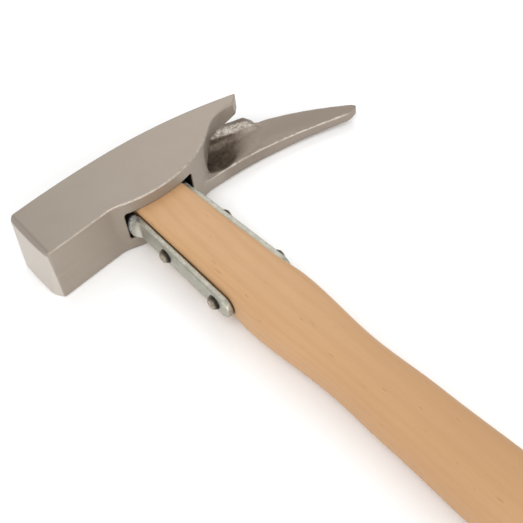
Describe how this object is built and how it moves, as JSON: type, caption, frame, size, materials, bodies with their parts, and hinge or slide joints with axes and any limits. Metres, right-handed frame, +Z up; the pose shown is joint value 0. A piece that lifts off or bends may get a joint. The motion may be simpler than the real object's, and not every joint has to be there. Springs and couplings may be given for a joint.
{
  "type": "roofing hammer",
  "caption": "Forged hammer head with a square face, a nail-pulling notch and a side spike, on a waisted wooden handle held by riveted steel straps.",
  "frame": {"origin": "on the cheek that the hammer lies on, below the middle of the eye", "axes": "-X towards the striking face, +X towards the claw and spike, +Y along the handle towards the head's top, +Z up from the resting cheek"},
  "size_m": [0.1757, 0.3267, 0.029],
  "materials": {
    "forged_steel": "satin, fine-blasted forging",
    "ash_wood": "sanded and lightly oiled",
    "zinc_strap": "galvanised, mottled",
    "rivet_steel": "dull, formed heads",
    "wedge_wood": "end grain, sanded",
    "wedge_steel": "dull"
  },
  "bodies": {
    "root": {"head": "forged_steel", "handle": "ash_wood", "strap_face_side": "zinc_strap", "strap_claw_side": "zinc_strap", "rivet_upper": "rivet_steel", "rivet_lower": "rivet_steel", "wooden_wedge": "wedge_wood", "steel_wedge_face_side": "wedge_steel", "steel_wedge_claw_side": "wedge_steel"}
  },
  "joints": []
}
